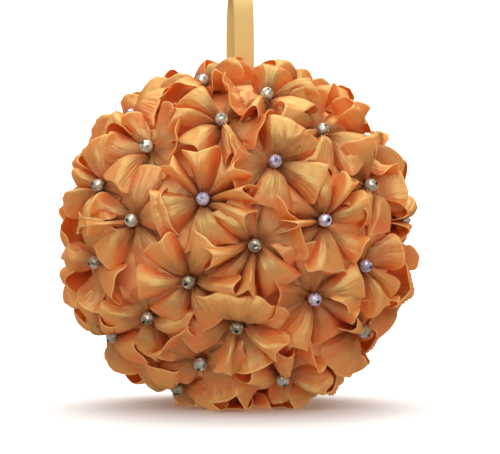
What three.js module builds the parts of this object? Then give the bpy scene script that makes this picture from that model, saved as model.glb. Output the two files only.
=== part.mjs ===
// A ball covered in gathered satin ribbon flowers, each with a faceted bead at its centre.
// The flowers stand on a round foam core, and a short loop of narrower ribbon hangs the ball.
// Units are millimetres and +Z is up. The ball rests on z = 0, on the flattened petals of its
// lowest flower, and a camera that looks along +Y sees the hand-placed flowers.
import * as THREE from 'three';

// Core and flowers. A "level" is a distance from the centre of the ball.
const CORE_RADIUS = 76;             // a craft ball 152 mm across
const FLOWER_COUNT = 58;
const PETALS = 5;                   // petals in one flower
const STEPS_PER_PETAL = 4;          // valley, corner, middle, corner
const PETAL_REACH = 28;             // from the bead to a petal's outer edge, where its cell allows
const CREST_REACH = 11.5;           // from the bead to the highest fold of a petal
const CREST_LEVEL = 87;             // the highest fold of a petal
const CREST_VARIATION = 1.6;        // how far one petal's crest stands above or below the usual
const CORNER_DROP = 1.2;            // how much lower a petal is at its two corners
const VALLEY_DROP = 4.5;            // how much lower the fold between two petals is
const RIM_LEVEL = 80.5;             // the outer edge of a petal
const FOOT_CLEARANCE = 0.4;         // between the core and the underside of a flower
const FLOWER_GAP = 0.3;             // between two flowers

// Faceted bead at the centre of each flower.
const BEAD_RADIUS = 3.3;
const BEAD_TIP_LEVEL = 86.2;
const BEAD_GIRDLE_LEVEL = 83.8;
const POCKET_RADIUS = 4.6;          // the gathers that dip around the bead
const POCKET_LEVEL = 81.2;

// The lowest flower is pressed flat from its middle to its crests, so that the ball stands still.
const REST_LEVEL = 84.3;
const PRESSED_REACH = 14;           // from the middle of the flat spot to its edge

// Hanging loop: a flat ribbon that runs up from the top of the core, over, and down again.
const LOOP_WIDTH = 10;
const LOOP_THICKNESS = 0.8;
const LOOP_HEIGHT = 49;             // from the top of the core to the top of the loop
const LOOP_HALF_DEPTH = 6.5;        // half the loop's opening, front to back
const LOOP_FOOT_HALF_DEPTH = 2.2;   // half the distance between the two ends
const LOOP_STAGGER = 2;             // each side stands this far to the left or right of the middle
const LOOP_STEPS = 22;
const LOOP_CHANNEL = 6.6;           // the flowers round the top keep this far from the loop's axis

// Flowers placed by hand: azimuth to the right of the front, and elevation, in degrees.
const FRONT_FLOWERS = [
  [-8, 43], [17, 57], [38, 39], [-39, 32], [13, 26], [53, 18], [69, 36],
  [-12, 13], [-38, 6], [29, 6], [79, 6], [-60, 18], [5, -2], [47, -9],
  [-58, -8], [-17, -14], [27, -20], [-36, -27], [-1, -30], [60, -33], [-19, -46],
];
const LOWEST_FLOWER = [0, -90];
const LOWEST_INDEX = FRONT_FLOWERS.length;

// The other flowers start on a spiral and push each other apart.
const GOLDEN_ANGLE = Math.PI * (3 - Math.sqrt(5));
const SPREAD_ROUNDS = 400;
const SPREAD_STEP = 0.02;
const LOOP_PUSH = 0.05;             // how hard the loop's foot pushes, against 1 for a flower

const UP = new THREE.Vector3(0, 0, 1);

const satin = new THREE.MeshStandardMaterial({ color: 0xd98c4c, roughness: 0.38, metalness: 0 });
const narrowSatin = new THREE.MeshStandardMaterial({ color: 0xe8bc78, roughness: 0.38, metalness: 0 });
const foam = new THREE.MeshStandardMaterial({ color: 0xb4552a, roughness: 0.9, metalness: 0 });

function direction([azimuth, elevation]) {
  const a = THREE.MathUtils.degToRad(azimuth);
  const e = THREE.MathUtils.degToRad(elevation);
  return new THREE.Vector3(Math.sin(a) * Math.cos(e), -Math.cos(a) * Math.cos(e), Math.sin(e));
}

// Directions of all the flowers. The hand-placed ones stay, and the rest share the space left.
function flowerDirections() {
  const fixed = [...FRONT_FLOWERS, LOWEST_FLOWER].map(direction);
  const freeCount = FLOWER_COUNT - fixed.length;
  const free = [];
  for (let i = 0; i < freeCount; i += 1) {
    const height = 1 - (2 * i + 1) / freeCount;
    const turn = i * GOLDEN_ANGLE;
    const across = Math.sqrt(1 - height * height);
    free.push(new THREE.Vector3(across * Math.cos(turn), Math.abs(across * Math.sin(turn)), height));
  }
  for (let round = 0; round < SPREAD_ROUNDS; round += 1) {
    const pushes = free.map((point) => {
      const push = new THREE.Vector3();
      for (const other of [...fixed, ...free]) {
        if (other !== point) {
          const away = point.clone().sub(other);
          push.addScaledVector(away, 1 / away.length() ** 7);
        }
      }
      const fromLoop = point.clone().sub(UP);
      push.addScaledVector(fromLoop, LOOP_PUSH / fromLoop.length() ** 7);
      return push;
    });
    free.forEach((point, i) => {
      const step = Math.min(SPREAD_STEP, SPREAD_STEP * pushes[i].length());
      point.addScaledVector(pushes[i].normalize(), step * (1 - round / SPREAD_ROUNDS)).normalize();
    });
  }
  return [...fixed, ...free];
}

// Planes that close in one flower, each as a normal and how far the flower stays behind it.
function cellPlanes(axis, axes) {
  const planes = axes
    .filter((other) => other !== axis)
    .map((other) => ({ normal: other.clone().sub(axis).normalize(), clearance: FLOWER_GAP / 2 }));
  if (axis.z > 0) {
    const inward = new THREE.Vector3(-axis.x, -axis.y, 0).normalize();
    planes.push({ normal: inward, clearance: LOOP_CHANNEL });
  }
  return planes;
}

// How far along its axis a point of a flower lies, from its level and its distance from the axis.
function heightAbove(level, reach) {
  return Math.sqrt(level * level - reach * reach);
}

// How much of a sideways step from the flower's axis fits inside its planes.
function fittingShare(onAxis, sideways, planes) {
  let share = 1;
  for (const { normal, clearance } of planes) {
    const reach = normal.dot(sideways);
    if (reach > 0) {
      share = Math.min(share, (-clearance - normal.dot(onAxis)) / reach);
    }
  }
  return share;
}

// The rings of the lowest flower, whose bead and gathers are pressed up level with its petals.
function pressedRings() {
  return [
    [BEAD_RADIUS, CREST_LEVEL],
    [CREST_REACH, CREST_LEVEL],
    [PRESSED_REACH, CREST_LEVEL],
    [PETAL_REACH, RIM_LEVEL],
  ];
}

// The rings of one flower from its bead down to its foot, as distance from the axis and level.
// kind is 0 in the valley between two petals, 1 at a petal's corner and 2 at its middle.
function ringsOfFlower(kind, petal, index) {
  const variation = CREST_VARIATION * Math.sin(2.4 * petal + 1.7 * index);
  const crestLevel = [
    CREST_LEVEL - VALLEY_DROP,
    CREST_LEVEL - CORNER_DROP + variation,
    CREST_LEVEL + variation,
  ][kind];
  const crestReach = kind === 0 ? CREST_REACH - 2 : CREST_REACH;
  const rimReach = kind === 0 ? PETAL_REACH - 4 : PETAL_REACH;
  return [
    [BEAD_RADIUS, BEAD_GIRDLE_LEVEL],
    [POCKET_RADIUS, POCKET_LEVEL],
    [crestReach, crestLevel],
    [rimReach, RIM_LEVEL],
  ];
}

// One flower: a sphere whose rows of points become the bead, the pocket, the crest, the rim and the foot.
function flowerGeometry(index, axes) {
  const axis = axes[index];
  const planes = cellPlanes(axis, axes);
  const across = new THREE.Vector3().crossVectors(UP, axis);
  const side = index === LOWEST_INDEX ? new THREE.Vector3(1, 0, 0) : across.normalize();
  const upward = new THREE.Vector3().crossVectors(axis, side);
  const steps = PETALS * STEPS_PER_PETAL;
  const rows = pressedRings().length + 1;
  const geometry = new THREE.SphereGeometry(1, steps, rows);
  const position = geometry.getAttribute('position');
  const turn = index * GOLDEN_ANGLE;
  for (let row = 0; row <= rows; row += 1) {
    for (let step = 0; step <= steps; step += 1) {
      const petal = Math.floor((step % steps) / STEPS_PER_PETAL);
      const kind = [0, 1, 2, 1][step % STEPS_PER_PETAL];
      const rings = index === LOWEST_INDEX ? pressedRings() : ringsOfFlower(kind, petal, index);
      const profile = [[0, BEAD_TIP_LEVEL], ...rings, [0, CORE_RADIUS + FOOT_CLEARANCE]];
      const [reach, level] = profile[row];
      const angle = turn + (2 * Math.PI * (step % steps)) / steps;
      const onAxis = axis.clone().multiplyScalar(heightAbove(level, reach));
      const sideways = side.clone().multiplyScalar(reach * Math.cos(angle));
      sideways.addScaledVector(upward, reach * Math.sin(angle));
      const share = fittingShare(onAxis, sideways, planes);
      const point = axis.clone().multiplyScalar(heightAbove(level, share * reach));
      point.addScaledVector(sideways, share);
      point.z = Math.max(point.z, -REST_LEVEL);
      position.setXYZ(row * (steps + 1) + step, point.x, point.y, point.z);
    }
  }
  geometry.deleteAttribute('uv');
  geometry.computeVertexNormals();
  return geometry;
}

// The loop's path: up the back a little to the left, over, and down the front a little to the right.
function loopPath() {
  const foot = CORE_RADIUS + FOOT_CLEARANCE;
  const back = [
    [-LOOP_STAGGER, LOOP_FOOT_HALF_DEPTH, foot],
    [-LOOP_STAGGER, LOOP_FOOT_HALF_DEPTH + 0.4, foot + 0.25 * LOOP_HEIGHT],
    [-LOOP_STAGGER, LOOP_HALF_DEPTH - 1.8, foot + 0.58 * LOOP_HEIGHT],
    [-LOOP_STAGGER + 0.4, LOOP_HALF_DEPTH, foot + 0.82 * LOOP_HEIGHT],
    [-LOOP_STAGGER + 1.2, LOOP_HALF_DEPTH - 2, foot + 0.96 * LOOP_HEIGHT],
  ];
  const top = [[0, 0, foot + LOOP_HEIGHT]];
  const front = back.map(([x, y, z]) => [-x, -y, z]).reverse();
  return new THREE.CatmullRomCurve3([...back, ...top, ...front].map((p) => new THREE.Vector3(...p)));
}

function loopGeometry() {
  const section = new THREE.Shape();
  section.moveTo(-LOOP_WIDTH / 2, -LOOP_THICKNESS / 2);
  section.lineTo(LOOP_WIDTH / 2, -LOOP_THICKNESS / 2);
  section.lineTo(LOOP_WIDTH / 2, LOOP_THICKNESS / 2);
  section.lineTo(-LOOP_WIDTH / 2, LOOP_THICKNESS / 2);
  section.closePath();
  return new THREE.ExtrudeGeometry(section, { steps: LOOP_STEPS, extrudePath: loopPath() });
}

function namedMesh(name, geometry, material) {
  const mesh = new THREE.Mesh(geometry, material);
  mesh.name = name;
  return mesh;
}

const axes = flowerDirections();
const flowers = axes.map((axis, index) => {
  const name = `flower_${String(index + 1).padStart(2, '0')}`;
  return namedMesh(name, flowerGeometry(index, axes), satin);
});
const core = namedMesh('core', new THREE.SphereGeometry(CORE_RADIUS, 20, 10).rotateX(Math.PI / 2), foam);
const hangingLoop = namedMesh('hanging_loop', loopGeometry(), narrowSatin);

// The origin is the middle of the ball's underside, as the flowers' own box gives it.
const ball = new THREE.Group();
ball.add(core, ...flowers);
const middle = new THREE.Box3().setFromObject(ball).getCenter(new THREE.Vector3());

const ribbonBall = new THREE.Group();
ribbonBall.add(core, ...flowers, hangingLoop);
ribbonBall.position.set(-middle.x, -middle.y, REST_LEVEL);
ribbonBall.updateMatrixWorld(true);

export default ribbonBall;
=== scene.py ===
"""A ball covered in gathered satin ribbon flowers, each with a crystal bead, on a hanging ribbon."""

import math

import bpy
import numpy as np
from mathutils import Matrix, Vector


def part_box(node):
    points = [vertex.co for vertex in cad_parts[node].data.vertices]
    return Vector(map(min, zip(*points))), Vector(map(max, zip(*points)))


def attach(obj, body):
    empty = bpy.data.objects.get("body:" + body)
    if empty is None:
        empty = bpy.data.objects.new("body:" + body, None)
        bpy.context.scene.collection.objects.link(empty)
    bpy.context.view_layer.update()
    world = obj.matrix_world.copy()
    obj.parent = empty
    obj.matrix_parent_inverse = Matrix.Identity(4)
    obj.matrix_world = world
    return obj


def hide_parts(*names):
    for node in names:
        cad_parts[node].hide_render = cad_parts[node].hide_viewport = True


bl_info = {
    "name": "Ribbon Flower Ball",
    "version": (1, 0, 0),
    "blender": (4, 5, 0),
    "location": "View3D > Sidebar > Ribbon Ball",
    "description": "Gathered ribbon flowers with crystal beads round a hanging ball",
    "category": "Object",
}

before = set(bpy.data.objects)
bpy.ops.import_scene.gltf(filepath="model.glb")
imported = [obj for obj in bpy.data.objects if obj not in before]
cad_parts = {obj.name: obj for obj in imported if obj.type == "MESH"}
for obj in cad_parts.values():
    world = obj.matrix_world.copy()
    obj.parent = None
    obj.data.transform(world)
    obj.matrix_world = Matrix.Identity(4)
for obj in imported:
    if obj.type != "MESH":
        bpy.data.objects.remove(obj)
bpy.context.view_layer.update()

MM = 0.001
PREFIX = "flower_"
LOWEST = "flower_22"

core_low, core_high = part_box("core")
CENTRE = np.array((core_low + core_high) / 2)
REST_DEPTH = CENTRE[2] / MM  # from the ball's centre down to what it rests on, in millimetres
FLOWERS = sorted(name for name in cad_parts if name.startswith(PREFIX))

# The strip of each flower as a grid: columns round the flower, rows from the gathered edge to the outer one.
COLUMNS = 100
ROWS = 11

# Slope of a petal above the ball's surface, in degrees, at its foot, a third out, two thirds out and at
# its rim.
PROFILES = {
    "fan": (62, 40, 18, 4),
    "skirt": (70, 48, -16, -26),
    "bowl": (6, 18, 50, 82),
    "arch": (70, 60, 26, -42),
    "pleat": (60, 52, 38, 22),
    "low": (36, 14, -4, -10),
}
ROUNDNESS = {"fan": 0.7, "skirt": 0.7, "bowl": 0.85, "arch": 0.8, "pleat": 0.8, "low": 0.8}
VALLEY = (-24, -14, -4, -3)
PROFILE_STOPS = (0.0, 0.33, 0.66, 1.0)

# Beads whose coating looks violet, and beads that look smoky; the others are clear. The kinds are the
# numbers that tell them apart in the beads' material.
CLEAR_KIND, VIOLET_KIND, SMOKY_KIND = 0.0, 0.5, 1.0
VIOLET = {PREFIX + number for number in ("05", "08", "10", "14", "17", "27", "33", "38", "44", "51", "56")}
SMOKY = {PREFIX + number for number in ("13", "16", "18", "19", "30", "36", "42", "47", "53")}

# The petals of the flowers in front: where each starts and ends, in degrees anticlockwise from the right as
# the flower is seen from the front of the ball, its kind, and how much further its end rises than its start.
FRONT_PETALS = {
    "flower_01": (
        (115, 165, "arch", 0), (178, 192, "pleat", 0), (200, 248, "fan", 6), (274, 306, "skirt", 0),
        (316, 372, "bowl", 0), (400, 440, "low", 0),
    ),
    "flower_02": (
        (-8, 10, "pleat", 0), (35, 120, "arch", 0), (150, 215, "bowl", 0), (222, 252, "fan", 8),
        (298, 345, "fan", 8),
    ),
    "flower_03": (
        (10, 60, "low", 0), (75, 130, "bowl", 0), (150, 176, "fan", -10), (194, 226, "fan", 0),
        (236, 290, "skirt", 0), (308, 354, "fan", 12),
    ),
    "flower_04": (
        (-72, 86, "bowl", 0), (104, 140, "bowl", 8), (150, 196, "bowl", 0), (206, 246, "fan", 12),
    ),
    "flower_05": (
        (-46, -2, "fan", 10), (10, 112, "arch", 0), (144, 226, "bowl", -10), (232, 297, "skirt", 0),
    ),
    "flower_06": (
        (-40, 50, "bowl", 0), (92, 128, "pleat", 0), (150, 196, "low", 0), (214, 260, "fan", 0),
        (273, 302, "skirt", 0),
    ),
    "flower_08": (
        (-2, 12, "pleat", 0), (28, 46, "pleat", 0), (72, 112, "pleat", 14), (126, 142, "pleat", 0),
        (168, 226, "fan", -12), (246, 312, "skirt", -6), (322, 348, "fan", 0),
    ),
    "flower_09": (
        (-22, 42, "fan", 18), (64, 122, "low", 0), (138, 180, "bowl", 0), (184, 200, "pleat", 0),
        (206, 248, "fan", 10), (264, 320, "low", 0),
    ),
    "flower_10": (
        (-56, -18, "bowl", 0), (-5, 40, "fan", 14), (52, 70, "pleat", 0), (78, 113, "skirt", 0),
        (128, 166, "low", 0), (182, 194, "pleat", 0), (203, 240, "low", 0), (250, 298, "fan", -10),
    ),
    "flower_11": (
        (-60, 10, "low", 0), (30, 80, "fan", 0), (118, 176, "fan", 14), (190, 250, "fan", 0),
    ),
    "flower_12": (
        (-20, 44, "low", 0), (70, 112, "pleat", 10), (132, 186, "fan", -16), (200, 228, "pleat", 0),
        (240, 296, "fan", 0),
    ),
    "flower_13": (
        (-22, 78, "bowl", 0), (90, 152, "skirt", 10), (182, 206, "pleat", 0), (214, 246, "low", 0),
        (250, 268, "pleat", 0), (276, 330, "skirt", 0),
    ),
    "flower_14": (
        (-58, -20, "fan", 8), (-10, 46, "bowl", 0), (80, 130, "low", 0), (150, 200, "low", 0),
        (222, 262, "fan", -10), (272, 296, "pleat", 0),
    ),
    "flower_15": (
        (-62, -6, "fan", 0), (50, 112, "fan", 10), (146, 204, "fan", 0), (228, 284, "bowl", 0),
    ),
    "flower_16": (
        (-22, 6, "fan", 14), (40, 88, "fan", -8), (110, 152, "fan", -22), (163, 202, "fan", 0),
        (212, 262, "skirt", 0), (280, 324, "skirt", 0),
    ),
    "flower_17": (
        (-36, -8, "bowl", 0), (0, 40, "fan", -8), (60, 118, "low", 0), (148, 206, "bowl", 0),
        (232, 262, "fan", 12), (276, 318, "low", 0),
    ),
    "flower_18": (
        (-28, 6, "skirt", 0), (36, 96, "low", 0), (160, 214, "fan", -18), (236, 294, "skirt", 0),
    ),
    "flower_19": (
        (-36, -12, "pleat", 0), (4, 156, "arch", 0), (172, 226, "low", 0), (242, 262, "pleat", 0),
        (268, 320, "bowl", 0),
    ),
    "flower_20": (
        (-62, -4, "low", 0), (40, 100, "bowl", 0), (120, 172, "fan", 0), (212, 262, "fan", 12),
    ),
    "flower_21": (
        (-14, 24, "skirt", 0), (104, 176, "bowl", 0), (198, 250, "low", 0), (272, 334, "bowl", 0),
    ),
}


# ---------------------------------------------------------------- settings


def size_setting(name, description, default):
    return bpy.props.FloatProperty(name=name, description=description, default=default, unit="LENGTH")


def colour_setting(name, description, default):
    return bpy.props.FloatVectorProperty(
        name=name, description=description, default=default, subtype="COLOR", size=3
    )


class RibbonSettings(bpy.types.PropertyGroup):
    """Sizes of the gathered ribbon of one flower."""

    width: size_setting("Ribbon width", "Width of the petals' ribbon", 0.0254)
    length: size_setting("Ribbon length", "Ribbon gathered into one flower", 0.265)
    thickness: size_setting("Thickness", "Thickness of the satin", 0.00025)
    knot_radius: size_setting("Knot radius", "Radius of the gathered edge", 0.0026)
    knot_level: size_setting("Knot level", "Height of the gathered edge above the ball's centre", 0.0795)
    steps: bpy.props.IntProperty(
        name="Steps", description="Steps of the relaxation that settles the petals", default=260
    )


class SatinSettings(bpy.types.PropertyGroup):
    """Colours of the satin, among them painted light and shade."""

    # Painted light and shade: body is the satin as lit, golden on the petals' crests; shade is the same satin
    # painted as in shade, redder on their lower parts.
    body: colour_setting("Satin", "Colour of the petals' crests", (0.92, 0.288, 0.066))
    shade: colour_setting("Shaded satin", "Colour of the petals' lower parts", (0.94, 0.13, 0.025))
    # Painted light: the red-orange glow of the light that reaches the satin deep between the petals.
    deep: colour_setting("Deep satin", "Colour of the satin deep between the petals", (1.0, 0.22, 0.07))
    # Painted light: the satin painted paler where it is gathered tight, to lift the shade that its fine gathers
    # cast on themselves.
    heel: colour_setting("Gathers", "Colour of the satin where it is gathered tight", (1.0, 0.33, 0.12))
    hanger: colour_setting("Hanger", "Colour of the hanging ribbon", (0.78, 0.50, 0.19))
    # The woven edge, painted paler as a highlight along it.
    selvedge_highlight: colour_setting("Selvedge", "Colour of the woven edge", (0.95, 0.45, 0.15))
    through: colour_setting("Light through", "Colour of the light that comes through", (1.0, 0.42, 0.14))
    glow: colour_setting("Highlight", "Colour of the satin's highlight", (0.74, 0.90, 0.38))


class BeadSettings(bpy.types.PropertyGroup):
    """Sizes of the crystal beads."""

    radius: size_setting("Bead radius", "Radius of a crystal bead", 0.0033)
    level: size_setting("Bead level", "Height of a bead's middle above the ball's centre", 0.0832)


class HangerSettings(bpy.types.PropertyGroup):
    """Sizes of the hanging ribbon."""

    width: size_setting("Hanger width", "Width of the hanging ribbon", 0.010)
    thickness: size_setting("Hanger thickness", "Thickness of the hanging ribbon", 0.0005)


class CameraSettings(bpy.types.PropertyGroup):
    """The camera in front of the ball."""

    distance: size_setting("Distance", "From the camera to the ball's centre", 1.0)
    lens: bpy.props.FloatProperty(
        name="Focal length", description="Focal length in millimetres", default=142.6
    )


# ---------------------------------------------------------------- shader expressions


# Where the sockets for colours are on a Mix node, and other outputs that are picked by their place.
MIX_FACTOR, MIX_FIRST, MIX_SECOND, MIX_RESULT = 0, 6, 7, 2
OBJECT_OUTPUT, Y_OUTPUT, LENGTH_OUTPUT, CELL_COLOUR_OUTPUT, NUMBER_OUTPUT = 3, 1, 1, 1, 2


class Value:
    """One output of a node, with the operators that shader maths needs."""

    def __init__(self, shader, socket):
        self.shader = shader
        self.socket = socket

    def math(self, operation, *others):
        return self.shader.node("ShaderNodeMath", {"operation": operation}, (self, *others))

    def __add__(self, other):
        return self.math("ADD", other)

    def __radd__(self, other):
        return self.math("ADD", other)

    def __mul__(self, other):
        return self.math("MULTIPLY", other)

    def __gt__(self, other):
        return self.math("GREATER_THAN", other)


class Shader:
    """A new material's node tree, filled through expressions."""

    def __init__(self, name):
        self.material = bpy.data.materials.new(name)
        self.material.use_nodes = True
        self.tree = self.material.node_tree
        self.surface = self.tree.nodes["Principled BSDF"]

    def node(self, kind, settings=None, inputs=None, output=0):
        """Any node: its settings are made first, then the values or links of its sockets."""
        made = self.tree.nodes.new(kind)
        for key, value in (settings or {}).items():
            if key == "stops":
                self.fill_ramp(made.color_ramp, value)
            else:
                setattr(made, key, value)
        pairs = inputs.items() if isinstance(inputs, dict) else enumerate(inputs or ())
        for key, value in pairs:
            self.feed(made.inputs[key], value)
        return Value(self, made.outputs[output])

    def fill_ramp(self, ramp, stops):
        while len(ramp.elements) < len(stops):
            ramp.elements.new(1.0)
        for element, (place, colour) in zip(ramp.elements, stops):
            element.position = place
            element.color = (*colour, 1.0)

    def feed(self, socket, value):
        if isinstance(value, Value):
            self.tree.links.new(value.socket, socket)
        elif isinstance(value, tuple) and socket.type == "RGBA":
            socket.default_value = (*value[:3], 1.0)
        else:
            socket.default_value = value

    def mix(self, factor, first, second):
        """Blends two colours."""
        made = self.tree.nodes.new("ShaderNodeMix")
        made.data_type = "RGBA"
        for place, value in ((MIX_FACTOR, factor), (MIX_FIRST, first), (MIX_SECOND, second)):
            self.feed(made.inputs[place], value)
        return Value(self, made.outputs[MIX_RESULT])

    def noise(self, vector, scale, detail=2.0, roughness=0.5):
        return self.node(
            "ShaderNodeTexNoise", {},
            {"Vector": vector, "Scale": scale, "Detail": detail, "Roughness": roughness},
        )

    def place(self):
        """A point's place on the ball."""
        return self.node("ShaderNodeTexCoord", output=OBJECT_OUTPUT)

    def strip(self):
        """A point's place on a flat strip: along it, and across it."""
        return self.node("ShaderNodeUVMap", {"uv_map": "strip"})

    def scaled(self, vector, along, across):
        return self.node("ShaderNodeMapping", {}, {"Vector": vector, "Scale": (along, across, 1.0)})

    def second(self, vector):
        """A vector's second number."""
        return self.node("ShaderNodeSeparateXYZ", {}, (vector,), output=Y_OUTPUT)

    def ramp(self, value, stops):
        return self.node("ShaderNodeValToRGB", {"stops": stops}, (value,))

    def rising(self, value, low, high):
        """0 where the value is at low, 1 where it is at high, and even in between."""
        return self.node(
            "ShaderNodeMapRange", {"clamp": True}, {"Value": value, "From Min": low, "From Max": high}
        )

    def bump(self, height, strength, distance):
        return self.node(
            "ShaderNodeBump", {}, {"Height": height, "Strength": strength, "Distance": distance}
        )

    def let_through(self, colour, share):
        """Lets a share of the light through to the other side."""
        back = self.node("ShaderNodeBsdfTranslucent", {}, {"Color": colour})
        both = self.node("ShaderNodeMixShader", {}, {"Fac": share})
        front = Value(self, self.surface.outputs["BSDF"])
        self.feed(both.socket.node.inputs[1], front)
        self.feed(both.socket.node.inputs[2], back)
        self.feed(self.tree.nodes["Material Output"].inputs["Surface"], both)

    def finish(self, **sockets):
        for name, value in sockets.items():
            self.feed(self.surface.inputs[name.replace("_", " ")], value)
        return self.material


def petal_satin(colours):
    """Satin ribbon: long floats along its length and a gold highlight, with painted light and shade: golden as
    lit on the petals' crests and in patches, redder as in shade where the cloth lies lower, a painted glow
    deep between the petals and at the tight gathers, and a painted highlight along the woven edges."""
    shader = Shader("petal_satin")
    strip, place = shader.strip(), shader.place()
    across = shader.second(strip)
    outer_edge, gathered_edge = shader.rising(across, 0.955, 0.98), shader.rising(across, 0.03, 0.015)
    edge = outer_edge.math("MAXIMUM", gathered_edge)
    floats = shader.noise(shader.scaled(strip, 260.0, 40.0), 1.0, 3.0)
    creases = shader.noise(shader.scaled(strip, 70.0, 1.8), 1.0, 2.0, 0.6)
    wrinkles = shader.noise(place, 130.0, 1.0)
    heel = shader.rising(across, 0.45, 0.15)
    level = shader.node(
        "ShaderNodeVectorMath", {"operation": "DISTANCE"}, (place, tuple(CENTRE)), output=LENGTH_OUTPUT
    )
    # Painted light and shade: lit, golden satin on the higher crests and in random patches, and the same satin
    # painted as in shade, redder, elsewhere.
    height = shader.rising(level, 0.081, 0.090)
    painted_light_patches = shader.rising(shader.noise(place, 42.0, 1.0) * 0.45 + height * 0.55, 0.48, 0.62)
    cloth = shader.mix(painted_light_patches, tuple(colours.shade), tuple(colours.body))
    # Painted light: a red-orange glow where the cloth lies deep between the petals.
    cloth = shader.mix(shader.rising(level, 0.087, 0.079), cloth, tuple(colours.deep))
    # Painted light: paler at the tight gathers, to lift the shade they cast on themselves.
    cloth = shader.mix(heel, cloth, tuple(colours.heel))
    # Painted highlight along the woven edges, outer and gathered.
    cloth = shader.mix(edge * 0.85, cloth, tuple(colours.selvedge_highlight))
    shader.let_through(tuple(colours.through), heel * 0.4 + 0.3)
    return shader.finish(
        Base_Color=cloth,
        Roughness=0.49 + heel * 0.43 + floats * 0.06 + edge * 0.1,
        IOR=2.5,
        Specular_IOR_Level=1.0,
        Specular_Tint=tuple(colours.glow),
        Sheen_Weight=0.1,
        Sheen_Roughness=0.4,
        Sheen_Tint=(1.0, 0.7, 0.35),
        Normal=shader.bump(creases + wrinkles * 1.1 + floats * 0.02, 0.65, 0.0018),
    )


def loop_satin(colours):
    """The paler satin of the hanging ribbon, in shade on the side behind."""
    shader = Shader("loop_satin")
    floats = shader.noise(shader.scaled(shader.strip(), 3.0, 60.0), 1.0, 3.0)
    behind = shader.rising(shader.second(shader.place()), 0.0, 0.002)
    cloth = shader.mix(floats, tuple(0.86 * c for c in colours.hanger), tuple(colours.hanger))
    cloth = shader.mix(behind * 0.35, cloth, tuple(0.3 * c for c in colours.body))
    return shader.finish(
        Base_Color=cloth,
        Roughness=0.45 + floats * 0.1,
        IOR=2.0,
        Specular_Tint=tuple(colours.glow),
        Normal=shader.bump(floats, 0.2, 0.0001),
    )


# Each facet's colour: the crystal's own tint, varied from facet to facet, with painted glints on the palest
# facets and painted dark reflections on the darkest.
CLEAR_TINTS_AND_GLINTS = (
    (0.0, (0.20, 0.18, 0.11)), (0.35, (0.78, 0.76, 0.62)), (0.6, (0.42, 0.43, 0.32)),
    (0.8, (0.92, 0.90, 0.78)), (1.0, (0.60, 0.57, 0.55)),
)
VIOLET_TINTS_AND_GLINTS = (
    (0.0, (0.20, 0.15, 0.45)), (0.35, (0.85, 0.86, 0.95)), (0.6, (0.40, 0.33, 0.75)),
    (0.8, (0.95, 0.96, 0.98)), (1.0, (0.62, 0.50, 0.80)),
)
SMOKY_TINTS_AND_GLINTS = (
    (0.0, (0.05, 0.035, 0.015)), (0.4, (0.55, 0.50, 0.32)), (0.7, (0.22, 0.17, 0.08)),
    (1.0, (0.95, 0.93, 0.80)),
)


def crystal():
    """Cut crystal with a thin rainbow coating: each facet takes its own tint, with glints and dark reflections
    painted at random among the facets, and some beads are violet, some smoky."""
    shader = Shader("bead_crystal")
    place = shader.place()
    facet = shader.node(
        "ShaderNodeTexVoronoi", {}, {"Vector": place, "Scale": 560.0}, output=CELL_COLOUR_OUTPUT
    )
    pick = shader.node("ShaderNodeSeparateColor", {}, (facet,))
    kind = shader.node("ShaderNodeAttribute", {"attribute_name": "kind"}, output=NUMBER_OUTPUT)
    tint = shader.mix(
        kind > (CLEAR_KIND + VIOLET_KIND) / 2, shader.ramp(pick, CLEAR_TINTS_AND_GLINTS), shader.ramp(pick, VIOLET_TINTS_AND_GLINTS)
    )
    tint = shader.mix(kind > (VIOLET_KIND + SMOKY_KIND) / 2, tint, shader.ramp(pick, SMOKY_TINTS_AND_GLINTS))
    return shader.finish(
        Base_Color=tint, Metallic=0.5, Roughness=0.12, IOR=1.6, Coat_Weight=1.0, Coat_Roughness=0.03
    )


def pin_steel():
    shader = Shader("pin_steel")
    wear = shader.noise(shader.place(), 900.0)
    return shader.finish(Base_Color=(0.30, 0.28, 0.24), Metallic=1.0, Roughness=0.25 + wear * 0.2)


def wrap_satin(colours):
    """The same satin where it wraps the ball, in the shade of its folds, painted paler and more yellow than the
    petals to lift that shade.
    """
    shader = Shader("core_satin")
    place = shader.place()
    weave = shader.noise(place, 700.0, 3.0)
    # Painted light: paler than the petals' satin, to lift the shade in the gaps; the noise varies the tone at
    # random.
    colour = shader.mix(shader.noise(place, 80.0), (0.97, 0.34, 0.12), (1.0, 0.44, 0.17))
    return shader.finish(
        Base_Color=colour,
        Roughness=0.5 + weave * 0.1,
        IOR=2.0,
        Specular_IOR_Level=1.0,
        Specular_Tint=tuple(colours.glow),
        Normal=shader.bump(weave, 0.2, 0.0001),
    )


def pale_floor():
    shader = Shader("pale_floor")
    colour = shader.mix(shader.noise(shader.place(), 3.0), (0.88, 0.88, 0.87), (0.90, 0.90, 0.89))
    return shader.finish(Base_Color=colour, Roughness=0.8)


# ---------------------------------------------------------------- small helpers


def deselect_all():
    bpy.ops.object.select_all(action="DESELECT")


def make_active(piece):
    deselect_all()
    piece.select_set(True)
    bpy.context.view_layer.objects.active = piece


def smooth_step(x):
    x = np.clip(x, 0.0, 1.0)
    return x * x * (3 - 2 * x)


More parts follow.
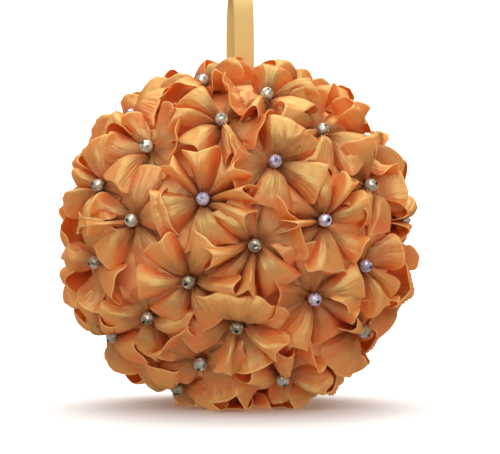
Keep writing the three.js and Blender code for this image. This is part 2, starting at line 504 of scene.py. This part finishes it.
def grid_mesh(name, points, closed, uv):
    """A mesh over an (n, m, 3) grid of points in metres; closed joins the last column to the first."""
    count, rows = points.shape[:2]
    last = count if closed else count - 1
    i, j = np.meshgrid(np.arange(last), np.arange(rows - 1), indexing="ij")
    ring = np.stack([i, i + 1, i + 1, i], -1).reshape(-1, 4)
    row = np.stack([j, j, j + 1, j + 1], -1).reshape(-1, 4)
    faces = (ring % count) * rows + row
    mesh = bpy.data.meshes.new(name)
    mesh.vertices.add(count * rows)
    mesh.vertices.foreach_set("co", points.astype(np.float32).ravel())
    mesh.loops.add(faces.size)
    mesh.loops.foreach_set("vertex_index", faces.astype(np.int32).ravel())
    mesh.polygons.add(len(faces))
    mesh.polygons.foreach_set("loop_start", np.arange(0, faces.size, 4, dtype=np.int32))
    mesh.polygons.foreach_set("use_smooth", np.ones(len(faces), bool))
    layer = mesh.uv_layers.new(name="strip")
    place = np.stack([ring / last * uv, row / (rows - 1)], -1)
    layer.data.foreach_set("uv", place.astype(np.float32).ravel())
    mesh.update()
    mesh.validate()
    piece = bpy.data.objects.new(name, mesh)
    bpy.context.scene.collection.objects.link(piece)
    return piece


def apply_modifier(piece, kind, **settings):
    make_active(piece)
    modifier = piece.modifiers.new(kind.lower(), kind)
    for key, value in settings.items():
        setattr(modifier, key, value)
    bpy.ops.object.modifier_apply(modifier=modifier.name)


# ---------------------------------------------------------------- flowers


def flower_axis(name):
    """The direction of a flower from the ball's centre: its solid's facets meet in a point on that line."""
    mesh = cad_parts[name].data
    points = np.array([vertex.co for vertex in mesh.vertices]) - CENTRE
    places, which = np.unique(np.round(points, 5), axis=0, return_inverse=True)
    corners = np.array([corner for face in mesh.polygons for corner in face.vertices])
    facets = np.bincount(which.ravel()[corners], minlength=len(places))
    meeting = places[facets == facets.max()]
    tip = meeting[np.argmax(np.linalg.norm(meeting, axis=1))]
    return tip / np.linalg.norm(tip)


def tangents(axis):
    """Two directions across a flower: to the right and up as it is looked at from outside."""
    right = np.cross((0.0, 0.0, 1.0), axis)
    size = np.linalg.norm(right)
    right = right / size if size > 0.1 else np.array((1.0, 0.0, 0.0))
    return right, np.cross(axis, right)


def angle_on_flower(axis, seen):
    """Turns an angle seen from the front of the ball, in degrees, into the angle on the flower itself."""
    right, up = tangents(axis)
    seen_right = np.array((right[0], up[0]))
    seen_up = np.array((right[2], up[2]))
    across = math.cos(math.radians(seen))
    rise = math.sin(math.radians(seen))
    on_right, on_up = np.linalg.solve(np.array((seen_right, seen_up)), (across, rise))
    turned = math.degrees(math.atan2(on_up, on_right))
    return turned + 360 * round((seen - turned) / 360)


def front_petals(name, axis):
    """The petals of a flower in front, on the flower itself: middle, span, kind and tilt."""
    narrowed, least_span = 0.96, 10.0
    petals = []
    for start, end, kind, tilt in FRONT_PETALS[name]:
        start, end = angle_on_flower(axis, start), angle_on_flower(axis, end)
        petals.append(((start + end) / 2, max(least_span, narrowed * (end - start)), kind, tilt))
    return sorted(petals)


def other_petals(axis, axes, chance):
    """Petals that reach for the corners between the neighbouring flowers."""
    right, up = tangents(axis)
    near_angle, least_room, most_span = 36, 34, 88.0
    near = axes[(axes @ axis > math.cos(math.radians(near_angle))) & (axes @ axis < 0.999)]
    if len(near) < 4:
        near = axes[np.argsort(-(axes @ axis))[1:6]]
    bearing = np.sort(np.degrees(np.arctan2(near @ up, near @ right)))
    step = np.diff(np.append(bearing, bearing[0] + 360))
    petals = []
    for middle, room in zip(bearing + step / 2, step):
        if room < least_room:
            continue
        kind = ("skirt", "fan", "bowl", "arch", "fan", "skirt", "pleat")[chance.integers(7)]
        span = room * chance.uniform(0.5, 0.72) * (0.6 if kind == "pleat" else 1.0)
        petals.append((middle + chance.uniform(-8, 8), min(span, most_span), kind, chance.uniform(-20, 20)))
    return sorted(petals)


def columns_of(petals, ribbon):
    """For each column of the strip: its angle at the rim, its share of the petal's rise, its place across
    the petal from -1 to 1, and the petal it belongs to. A petal rises and falls like half an ellipse, and
    two petals meet in a crease, or with more room in a flat valley."""
    reach, crease = 23.0, 3.0  # how far out the rim is, in millimetres, and half a crease, in degrees
    lobe_span, lobe_dip, wander = 26, 0.06, 0.04
    fine = 24
    count = len(petals)
    first = [petal[0] - petal[1] / 2 for petal in petals]
    last = [petal[0] + petal[1] / 2 for petal in petals]
    gap = [first[(i + 1) % count] + (360 if i == count - 1 else 0) - last[i] for i in range(count)]
    side = [min(max(room, 0.0) / 2, crease) for room in gap]
    angle, rise, across, owner = [], [], [], []
    for i in range(count):
        start, end = first[i] - side[i - 1], last[i] + side[i]
        turn = math.pi * np.arange(fine + 1) / fine
        angle.extend((start + end) / 2 - (end - start) / 2 * np.cos(turn))
        lobes = max(1, round(petals[i][1] / lobe_span))
        shift = wander * math.sin(7 * i + petals[i][0])
        dips = 1 + np.cos(2 * math.pi * lobes * (turn / math.pi + shift))
        rise.extend(np.sin(turn) ** ROUNDNESS[petals[i][2]] * (1 - lobe_dip * dips))
        across.extend(-np.cos(turn))
        owner.extend([i] * (fine + 1))
    angle.append(angle[0] + 360)
    rise.append(0.0)
    across.append(-1.0)
    owner.append(0)
    angle, rise = np.array(angle), np.array(rise)
    wide = np.diff(np.radians(angle)) * reach
    steps = np.hypot(np.abs(wide), np.diff(rise) * solve_height(wide, np.diff(rise), ribbon))
    walked = np.concatenate([[0], np.cumsum(steps)])
    want = (np.arange(COLUMNS) + 0.5) / COLUMNS * walked[-1]
    which = np.array(owner)[np.searchsorted(walked, want).clip(0, len(owner) - 1)]
    return (
        np.radians(np.interp(want, walked, angle)),
        np.interp(want, walked, rise),
        np.interp(want, walked, across),
        which,
    )


def solve_height(wide, rises, ribbon):
    """How high, in millimetres, the petals' rims have to stand for the strip to have its length."""
    low, high = 0.0, 60.0
    for halving in range(20):
        middle = (low + high) / 2
        if np.hypot(wide, rises * middle).sum() < ribbon.length / MM:
            low = middle
        else:
            high = middle
    return middle


def open_strip(petals, ribbon, scale):
    """A flower on its own, grown to a share of its size: (columns, rows, 3) points in millimetres along
    the flower's right, up and outward directions."""
    fine = 8
    rows = np.linspace(0, 1, ROWS)
    walk = np.linspace(0, 1, (ROWS - 1) * fine + 1)
    angle, rise, across, owner = columns_of(petals, ribbon)
    even = 2 * math.pi * (np.arange(COLUMNS) + 0.5) / COLUMNS
    even = even + np.mean(angle - even)
    tops = np.array([np.interp(walk, PROFILE_STOPS, PROFILES[petals[i][2]]) for i in owner])
    tilts = np.array([petals[i][3] for i in owner]) * across
    tops = tops + tilts[:, None] * smooth_step(walk * 1.6)
    valley = np.interp(walk, PROFILE_STOPS, VALLEY)
    slope = np.radians(valley + (tops - valley) * rise[:, None])
    slope = (slope[:, 1:] + slope[:, :-1]) / 2
    drawn_in = 0.5  # how much of the ribbon's width is drawn in at the bottom of a valley
    tucked = 1 - drawn_in * (1 - smooth_step(rise * 1.5))
    stride = tucked[:, None] * ribbon.width / MM * scale / ((ROWS - 1) * fine)
    start = np.zeros((COLUMNS, 1))
    out = np.hstack([start, np.cumsum(np.cos(slope) * stride, 1)])[:, ::fine] + ribbon.knot_radius / MM
    high = np.hstack([start, np.cumsum(np.sin(slope) * stride, 1)])[:, ::fine]
    turn = even[:, None] + (angle - even)[:, None] * smooth_step(rows * 2.2 + 0.15)
    level = ribbon.knot_level / MM + high - out * out / (2 * ribbon.knot_level / MM)
    return np.stack([out * np.cos(turn), out * np.sin(turn), level], -1)


def grow_stages(axes, petals, ribbon):
    """All the flowers in their places on the ball, at each stage of growth."""
    turns = [np.array((*tangents(axis), axis)) for axis in axes]
    return [
        np.array([open_strip(shape, ribbon, scale) @ turn for shape, turn in zip(petals, turns)])
        for scale in (0.5, 0.65, 0.8, 0.9, 1.0)
    ]


def wrap_level(directions, axes):
    """How far from the ball's centre the wrapped satin under the flowers reaches, in millimetres: highest in
    the corners between them."""
    lowest, bulge, from_angle, over_angle = 76.8, 1.0, 6, 7
    off = np.degrees(np.arccos(np.clip((directions @ axes.T).max(-1), -1, 1)))
    return lowest + bulge * smooth_step((off - from_angle) / over_angle)


def near_pairs(points, members, reach):
    """Pairs of the points numbered in members that are closer than reach, found through a grid of cells."""
    chosen = points[members]
    cell = np.floor((chosen - chosen.min(0) + reach) / reach).astype(np.int64)
    size = cell.max(0) + 3
    key = (cell[:, 0] * size[1] + cell[:, 1]) * size[2] + cell[:, 2]
    order = np.argsort(key, kind="stable")
    key = key[order]
    chosen = chosen[order]
    here = np.arange(len(members))
    found = []
    for step in ((x, y, z) for x in (0, 1) for y in (-1, 0, 1) for z in (-1, 0, 1)):
        if step < (0, 0, 0):
            continue
        shift = (step[0] * size[1] + step[1]) * size[2] + step[2]
        first = here + 1 if shift == 0 else np.searchsorted(key, key + shift, "left")
        end = np.searchsorted(key, key + shift, "right")
        i, j = here, first
        while len(i):
            alive = j < end
            i, j, end = i[alive], j[alive], end[alive]
            gap = chosen[i] - chosen[j]
            close = np.einsum("ij,ij->i", gap, gap) < reach * reach
            found.append((order[i[close]], order[j[close]]))
            j = j + 1
    return members[np.concatenate([a for a, b in found])], members[np.concatenate([b for a, b in found])]


def strip_threads(stages):
    """The threads of all the strips: groups in which no point is used twice, with the lengths they have at
    each stage of growth and how far each end gives way."""
    every = np.arange(COLUMNS)
    groups = []

    def add(columns, right, first, last, stride, out, strength):
        own = slice(first, last, stride)
        far = slice(first + out, last + out, stride)
        row = np.arange(first, last, stride)
        other = (columns + right) % COLUMNS
        lengths = [np.linalg.norm(s[:, other, far] - s[:, columns, own], axis=3)[..., None] for s in stages]
        loose_own = (row > 0).astype(float)
        loose_far = (row + out > 0).astype(float)
        shared = strength / np.maximum(loose_own + loose_far, 1e-9)
        pulls = (loose_own * shared)[:, None], (loose_far * shared)[:, None]
        groups.append((columns, own, other, far, lengths, *pulls))

    pairs = (every[0::2], every[1::2])
    fours = (every[every % 4 < 2], every[every % 4 >= 2])
    for columns in pairs:
        add(columns, 1, 1, ROWS, 1, 0, 0.9)
    for parity in (0, 1):
        add(every, 0, parity, ROWS - 1, 2, 1, 0.9)
    for columns in pairs:
        add(columns, 1, 0, ROWS - 1, 1, 1, 0.5)
        add(columns, 1, 1, ROWS, 1, -1, 0.5)
    for columns in fours:
        add(columns, 2, 1, ROWS, 1, 0, 0.4)
    for first in range(4):
        add(every, 0, first, ROWS - 2, 4, 2, 0.4)
    return groups


def settle(axes, stages, bead, steps):
    """Grows all the flowers together from the first stage to the last. Each keeps to its own shape as far as
    its neighbours, the ball, its bead, the hanging ribbon and the surface below let it. Returns
    (flowers, columns, rows, 3) points in millimetres."""
    growing = 0.6
    gap = 1.7
    look_every = 6
    hold_first, hold_last = 0.25, 0.06
    above_wrap = 0.3
    shove_share, push_down = 0.45, 0.2
    top_level = 92.0
    slot_half_width, slot_half_depth, slot_bottom = 7.4, 3.6, 60
    groups = strip_threads(stages)
    points = stages[0].copy()
    total = points.size // 3
    number = np.arange(total)
    row, column, flower = number % ROWS, number // ROWS % COLUMNS, number // (ROWS * COLUMNS)
    body = gap * np.clip((row / (ROWS - 1) - 0.2) / 0.3, 0, 1)
    touching = number[body > 0.1]
    loose = points[:, :, 1:]
    flat = points.reshape(-1, 3)
    for step in range(steps):
        grown = min(1.0, step / (growing * steps)) * (len(stages) - 1)
        stage = min(int(grown), len(stages) - 2)
        share = grown - stage
        hold = hold_first + (hold_last - hold_first) * step / steps
        shape = stages[stage] + (stages[stage + 1] - stages[stage]) * share
        points += (shape - points) * hold
        for columns, own, other, far, lengths, pull_own, pull_far in groups:
            a = points[:, columns, own]
            reach = points[:, other, far] - a
            length = np.sqrt(np.einsum("fujk,fujk->fuj", reach, reach))[..., None] + 1e-9
            rest = lengths[stage] + (lengths[stage + 1] - lengths[stage]) * share
            reach *= 1 - rest / length
            points[:, columns, own] = a + pull_own * reach
            points[:, other, far] -= pull_far * reach
        if step % look_every == 0:
            first, second = near_pairs(flat, touching, gap + 0.8)
            turn = np.abs(column[first] - column[second])
            beside = (np.minimum(turn, COLUMNS - turn) <= 2) & (np.abs(row[first] - row[second]) <= 2)
            keep = ~(beside & (flower[first] == flower[second]))
            first, second = first[keep], second[keep]
            apart = np.minimum(body[first], body[second])
            level = np.sqrt((loose * loose).sum(3, keepdims=True))
            floor_level = wrap_level(loose / level, axes)[..., None] + above_wrap
        reach = flat[second] - flat[first]
        length = np.sqrt(np.einsum("ij,ij->i", reach, reach)) + 1e-9
        hit = length < apart
        i, j = first[hit], second[hit]
        shove = (shove_share * (apart[hit] - length[hit]) / length[hit])[:, None] * reach[hit]
        for way in range(3):
            flat[:, way] += np.bincount(j, shove[:, way], total) - np.bincount(i, shove[:, way], total)
        level = np.sqrt((loose * loose).sum(3, keepdims=True))
        rescale = np.where(level < floor_level, floor_level / level, 1.0)
        loose *= np.where(level > top_level, 1 - push_down * (level - top_level) / level, rescale)
        loose[..., 2] = np.maximum(loose[..., 2], -REST_DEPTH)
        clear_bead(loose, axes, bead)
        in_slot = (loose[..., 2] > slot_bottom) & (np.abs(loose[..., 0]) < slot_half_width)
        in_slot &= np.abs(loose[..., 1]) < slot_half_depth
        loose[..., 1] = np.where(in_slot, np.copysign(slot_half_depth, loose[..., 1]), loose[..., 1])
        points[:, :, 0] = shape[:, :, 0]
    return points


def clear_bead(loose, axes, bead):
    """Keeps each strip out of the column of its own bead."""
    room = bead.radius / MM + 1.0
    high = np.einsum("fujk,fk->fuj", loose, axes)[..., None]
    sideways = loose - high * axes[:, None, None]
    away = np.sqrt((sideways * sideways).sum(3, keepdims=True)) + 1e-9
    inside = (high > bead.level / MM - 1.0) & (away < room)
    loose += np.where(inside, sideways * (room / away - 1), 0.0)


def refine(points):
    """Twice as fine a grid both ways, with a cubic through the points."""
    between = (9 * (points + np.roll(points, -1, 0)) - np.roll(points, 1, 0) - np.roll(points, -2, 0)) / 16
    columns = np.stack([points, between], 1).reshape(-1, points.shape[1], 3)
    a, b = columns[:, :-1], columns[:, 1:]
    before = np.concatenate([2 * columns[:, :1] - columns[:, 1:2], columns[:, :-2]], 1)
    after = np.concatenate([columns[:, 2:], 2 * columns[:, -1:] - columns[:, -2:-1]], 1)
    result = np.zeros((columns.shape[0], 2 * columns.shape[1] - 1, 3))
    result[:, ::2] = columns
    result[:, 1::2] = (9 * (a + b) - before - after) / 16
    return result


def gather(points, ribbon, chance):
    """Fine gathers, deepest at the gathered edge and in the valleys, that take up the cloth which the open
    shape has no room for, and soft ripples near the rim."""
    count, rows = points.shape[:2]
    along = (np.roll(points, -1, 0) - np.roll(points, 1, 0)) / 2
    across = np.gradient(points, axis=1)
    cell = np.cross(along, across)
    size = np.linalg.norm(cell, axis=2)
    normal = cell / (size[..., None] + 1e-9)
    out = np.linspace(0, 1, rows)
    tall = np.linalg.norm(across, axis=2)
    taken_up, deepest_inside, deepest_outside = 0.97, 1.0, 0.3
    flat = taken_up * ribbon.length * ribbon.width / MM**2 / (count * (rows - 1))
    depth = 0.5 * np.sqrt(np.maximum(flat**2 - size**2, 0)) / tall
    most = deepest_inside - (deepest_inside - deepest_outside) * smooth_step((out - 0.3) / 0.35)
    depth = np.minimum(depth, most)
    depth = (depth + np.roll(depth, 1, 0) + np.roll(depth, -1, 0)) / 3
    depth *= 1 - smooth_step((out - 0.82) / 0.16)
    folds = np.where(np.arange(count) % 2, 1.0, -1.0)
    turn = 2 * math.pi * np.arange(count) / count
    phase = chance.uniform(0, 6, 3)
    ripple = np.sin(turn * chance.integers(19, 25) + 1.6 * np.sin(turn * 3 + phase[0]))
    ripple *= 0.15 + 0.25 * np.sin(turn * 2 + phase[1]) * np.sin(turn * 5 + phase[2])
    shift = folds[:, None] * depth + ripple[:, None] * smooth_step((out - 0.4) / 0.6)[None]
    return points + normal * shift[..., None]


class RIBBONBALL_OT_petals(bpy.types.Operator):
    """Gathers a ribbon into a flower at each place and settles all of them together"""

    bl_idname = "ribbonball.petals"
    bl_label = "Ribbon flowers"

    def execute(self, context):
        ribbon, bead = context.scene.ribbonball_ribbon, context.scene.ribbonball_bead
        axes = np.array([flower_axis(name) for name in FLOWERS])
        chance = np.random.default_rng(11)
        petals = []
        for name, axis in zip(FLOWERS, axes):
            spread = other_petals(axis, axes, chance)
            petals.append(front_petals(name, axis) if name in FRONT_PETALS else spread)
        steps = ribbon.steps
        settled = settle(axes, grow_stages(axes, petals, ribbon), bead, steps)
        cloth = petal_satin(context.scene.ribbonball_satin)
        for name, points in zip(FLOWERS, settled):
            surface = gather(refine(points), ribbon, chance) * MM + CENTRE
            surface[..., 2] = np.maximum(surface[..., 2], ribbon.thickness)
            piece = grid_mesh(name.replace(PREFIX, "petals_"), surface, True, 1.0)
            piece.data.materials.append(cloth)
            apply_modifier(piece, "SOLIDIFY", thickness=ribbon.thickness, offset=0.0)
            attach(piece, "root")
            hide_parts(name)
        return {"FINISHED"}


# ---------------------------------------------------------------- beads


class RIBBONBALL_OT_beads(bpy.types.Operator):
    """Puts a faceted crystal bead on its pin in the middle of each flower"""

    bl_idname = "ribbonball.beads"
    bl_label = "Crystal beads"

    def execute(self, context):
        bead = context.scene.ribbonball_bead
        model = self.cut_bead(bead)
        head = self.pin_head(bead)
        room_for_head = 1.13
        beads, heads = [], []
        for name in FLOWERS:
            axis = Vector(flower_axis(name))
            level = bead.level if name != LOWEST else REST_DEPTH * MM - bead.radius * room_for_head
            kind = VIOLET_KIND if name in VIOLET else SMOKY_KIND if name in SMOKY else CLEAR_KIND
            turn = axis.to_track_quat("Z", "Y").to_matrix().to_4x4()
            for source, group in ((model, beads), (head, heads)):
                copy = source.copy()
                copy.data = source.data.copy()
                bpy.context.scene.collection.objects.link(copy)
                place = turn.copy()
                place.translation = Vector(CENTRE) + axis * level
                copy.data.transform(place)
                tint = copy.data.attributes.new("kind", "FLOAT", "POINT")
                tint.data.foreach_set("value", [kind] * len(copy.data.vertices))
                group.append(copy)
        for group, name, finish in ((beads, "crystal_beads", crystal()), (heads, "pin_heads", pin_steel())):
            deselect_all()
            for piece in group:
                piece.select_set(True)
            bpy.context.view_layer.objects.active = group[0]
            bpy.ops.object.join()
            joined = bpy.context.object
            joined.name = name
            joined.data.materials.clear()
            joined.data.materials.append(finish)
            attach(joined, "root")
        for source in (model, head):
            bpy.data.objects.remove(source)
        return {"FINISHED"}

    def cut_bead(self, bead):
        """A round bead whose rings of facets stand half a facet apart, with its two end points drawn in a
        little.
        """
        deselect_all()
        sides, rings, flatness = 10, 8, 0.86
        bpy.ops.mesh.primitive_uv_sphere_add(segments=sides, ring_count=rings, radius=bead.radius)
        model = bpy.context.object
        step = 2 * math.pi / sides
        for vertex in model.data.vertices:
            off_axis = math.hypot(vertex.co.x, vertex.co.y)
            ring = round(math.degrees(math.atan2(off_axis, vertex.co.z)) / (180 / rings))
            if ring % 2:
                x, y = vertex.co.x, vertex.co.y
                turn = step / 2
                vertex.co.x = x * math.cos(turn) - y * math.sin(turn)
                vertex.co.y = x * math.sin(turn) + y * math.cos(turn)
            if abs(abs(vertex.co.z) - bead.radius) < 1e-6:
                vertex.co.z *= flatness
        apply_modifier(model, "TRIANGULATE", quad_method="SHORTEST_DIAGONAL")
        return model

    def pin_head(self, bead):
        """The pin's rounded head over the hole."""
        deselect_all()
        bpy.ops.mesh.primitive_cylinder_add(
            vertices=12, radius=0.0008, depth=0.0008, location=(0, 0, bead.radius * 0.97)
        )
        head = bpy.context.object
        bpy.ops.object.transform_apply(location=True, rotation=False, scale=False)
        apply_modifier(head, "BEVEL", width=0.00025, segments=2)
        return head


# ---------------------------------------------------------------- hanging ribbon


def hanger_route():
    """The middle line of the hanging ribbon, in millimetres from the ball's centre: up, over and down."""
    behind = ((-2, 2.2, 76.4), (-2, 2.6, 88.65), (-2, 4.7, 104.82), (-1.6, 6.5, 116.58), (-0.8, 4.5, 123.44))
    front = tuple((-x, -y, z) for x, y, z in reversed(behind))
    return smooth_curve(behind + ((0, 0, 125.4),) + front, 4)


def smooth_curve(points, between):
    """A curve through the points, with a number of steps between each two."""
    points = np.array(points, float)
    padded = np.vstack([2 * points[0] - points[1], points, 2 * points[-1] - points[-2]])
    result = []
    for i in range(1, len(padded) - 2):
        a, b, c, d = padded[i - 1 : i + 3]
        for step in range(between):
            t = step / between
            result.append(
                0.5 * (2 * b + (c - a) * t + (2 * a - 5 * b + 4 * c - d) * t**2 + (3 * b - a - 3 * c + d) * t**3)
            )
    result.append(points[-1])
    return np.array(result)


class RIBBONBALL_OT_hanger(bpy.types.Operator):
    """Makes the narrow ribbon that the ball hangs on, in a loop"""

    bl_idname = "ribbonball.hanger"
    bl_label = "Hanging ribbon"

    def execute(self, context):
        hanger = context.scene.ribbonball_hanger
        route = hanger_route() * MM + CENTRE
        length = float(np.linalg.norm(np.diff(route, axis=0), axis=1).sum())
        across = np.linspace(-0.5, 0.5, 9) * hanger.width
        crown = 0.0003 * (1 - (2 * np.linspace(-0.5, 0.5, 9)) ** 2)
        way = np.gradient(route, axis=0)
        way /= np.linalg.norm(way, axis=1, keepdims=True)
        side = np.array((1.0, 0.0, 0.0))
        face = np.cross(way, side)
        points = route[:, None] + across[None, :, None] * side + crown[None, :, None] * face[:, None]
        piece = grid_mesh("hanger_ribbon", points, False, length / hanger.width)
        piece.data.materials.append(loop_satin(context.scene.ribbonball_satin))
        apply_modifier(piece, "SUBSURF", levels=1, render_levels=1)
        apply_modifier(piece, "SOLIDIFY", thickness=hanger.thickness, offset=0.0)
        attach(piece, "root")
        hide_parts("hanging_loop")
        return {"FINISHED"}


# ---------------------------------------------------------------- core


class RIBBONBALL_OT_core(bpy.types.Operator):
    """Wraps the ball that the flowers are pinned to in crumpled satin"""

    bl_idname = "ribbonball.core"
    bl_label = "Wrapped ball"

    def execute(self, context):
        deselect_all()
        bpy.ops.mesh.primitive_ico_sphere_add(subdivisions=4, radius=1.0)
        ball = context.object
        ball.name = "wrapped_core"
        mesh = ball.data
        mesh.name = "wrapped_core"
        directions = np.array([vertex.co.normalized() for vertex in mesh.vertices])
        axes = np.array([flower_axis(name) for name in FLOWERS])
        under_petals = 0.2
        level = wrap_level(directions, axes) - under_petals - self.folds(directions)
        points = directions * level[:, None] * MM + CENTRE
        points[:, 2] = np.maximum(points[:, 2], 0.002)
        mesh.vertices.foreach_set("co", points.astype(np.float32).ravel())
        mesh.polygons.foreach_set("use_smooth", np.ones(len(mesh.polygons), bool))
        mesh.update()
        mesh.materials.append(wrap_satin(context.scene.ribbonball_satin))
        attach(ball, "root")
        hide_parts("core")
        return {"FINISHED"}

    def folds(self, directions):
        """Depth, in millimetres, of folds that cross each other all over the ball."""
        chance = np.random.default_rng(5)
        folds, depth = 9, 1.4
        bent = directions + 0.16 * np.sin(7 * directions[:, [1, 2, 0]] + 1.0)
        crests = np.zeros(len(directions))
        for fold in range(folds):
            lay = chance.normal(size=3)
            lay /= np.linalg.norm(lay)
            wave = np.sin(chance.uniform(22, 38) * (bent @ lay) + chance.uniform(0, 6))
            crests = np.maximum(crests, np.abs(wave) ** 3)
        return depth * (1 - crests)


# ---------------------------------------------------------------- camera and stage


class RIBBONBALL_OT_camera(bpy.types.Operator):
    """Places the camera in front of the ball"""

    bl_idname = "ribbonball.camera"
    bl_label = "Camera"

    def execute(self, context):
        view = context.scene.ribbonball_camera
        aim_right, aim_up = 0.005, 0.0056
        data = bpy.data.cameras.new("front_camera")
        data.lens = view.lens
        camera = bpy.data.objects.new("front_camera", data)
        context.scene.collection.objects.link(camera)
        camera.location = Vector(CENTRE) + Vector((aim_right, -view.distance, aim_up))
        camera.rotation_euler = (math.pi / 2, 0, 0)
        context.scene.camera = camera
        return {"FINISHED"}


class RIBBONBALL_OT_stage(bpy.types.Operator):
    """Adds the pale floor that curves up behind the ball, and the soft lights"""

    bl_idname = "ribbonball.stage"
    bl_label = "Floor and lights"

    def execute(self, context):
        self.sweep()
        self.light("key_light", (0.1, -1.0, 0.85), 1.2, 3.6, CENTRE)
        self.light("sheen_light", (-0.2, -1.0, 0.9), 1.8, 11.5, CENTRE).visible_diffuse = False
        self.light("top_light", (0.0, 0.1, 1.1), 0.9, 3.6, CENTRE)
        self.light("wall_light", (0.0, 0.9, 1.6), 1.6, 40.0, (0, 2.0, 0.3))
        world = bpy.data.worlds.new("soft_room")
        context.scene.world = world
        world.use_nodes = True
        background = world.node_tree.nodes["Background"]
        background.inputs["Color"].default_value = (1.0, 0.99, 0.97, 1.0)
        background.inputs["Strength"].default_value = 1.02
        world.cycles_visibility.glossy = False
        context.scene.view_settings.view_transform = "Standard"
        return {"FINISHED"}

    def sweep(self):
        """A floor that turns up into a back wall round a quarter of a circle."""
        front, bend, radius, top, half_width = -3.0, 1.2, 0.8, 3.2, 4.0
        arc = [math.radians(step * 9) for step in range(11)]
        line = [(front, 0.0)] + [
            (bend + radius * math.sin(turn), radius * (1 - math.cos(turn))) for turn in arc
        ] + [(bend + radius, top)]
        sides = (-half_width, half_width)
        points = np.array([[(x, y, z) for x in sides] for y, z in line])
        floor = grid_mesh("floor", points, False, 1.0)
        floor.data.materials.append(pale_floor())
        floor.visible_diffuse = False
        floor.visible_glossy = False

    def light(self, name, place, size, power, target):
        data = bpy.data.lights.new(name, "AREA")
        data.size = size
        data.energy = power
        lamp = bpy.data.objects.new(name, data)
        bpy.context.scene.collection.objects.link(lamp)
        lamp.location = place
        lamp.rotation_euler = (Vector(target) - Vector(place)).to_track_quat("-Z", "Y").to_euler()
        return lamp


# ---------------------------------------------------------------- panel and registration


SETTINGS = {
    "ribbonball_ribbon": RibbonSettings,
    "ribbonball_satin": SatinSettings,
    "ribbonball_bead": BeadSettings,
    "ribbonball_hanger": HangerSettings,
    "ribbonball_camera": CameraSettings,
}
STEPS = (
    RIBBONBALL_OT_camera,
    RIBBONBALL_OT_hanger,
    RIBBONBALL_OT_petals,
    RIBBONBALL_OT_beads,
    RIBBONBALL_OT_core,
    RIBBONBALL_OT_stage,
)


class RIBBONBALL_PT_panel(bpy.types.Panel):
    """Sizes, colours and steps of the ribbon flower ball"""

    bl_label = "Ribbon Flower Ball"
    bl_idname = "RIBBONBALL_PT_panel"
    bl_space_type = "VIEW_3D"
    bl_region_type = "UI"
    bl_category = "Ribbon Ball"

    def draw(self, context):
        for key, group in SETTINGS.items():
            box = self.layout.box()
            for name in group.__annotations__:
                box.prop(getattr(context.scene, key), name)
        for step in STEPS:
            self.layout.operator(step.bl_idname)


def register():
    for group in SETTINGS.values():
        bpy.utils.register_class(group)
    for key, group in SETTINGS.items():
        setattr(bpy.types.Scene, key, bpy.props.PointerProperty(type=group))
    for step in STEPS:
        bpy.utils.register_class(step)
    bpy.utils.register_class(RIBBONBALL_PT_panel)


def unregister():
    bpy.utils.unregister_class(RIBBONBALL_PT_panel)
    for step in reversed(STEPS):
        bpy.utils.unregister_class(step)
    for key in SETTINGS:
        delattr(bpy.types.Scene, key)
    for group in reversed(list(SETTINGS.values())):
        bpy.utils.unregister_class(group)


def main():
    register()
    bpy.ops.ribbonball.camera()
    bpy.ops.ribbonball.hanger()
    bpy.ops.ribbonball.petals()
    bpy.ops.ribbonball.beads()
    bpy.ops.ribbonball.core()
    bpy.ops.ribbonball.stage()


if __name__ == "__main__":
    main()
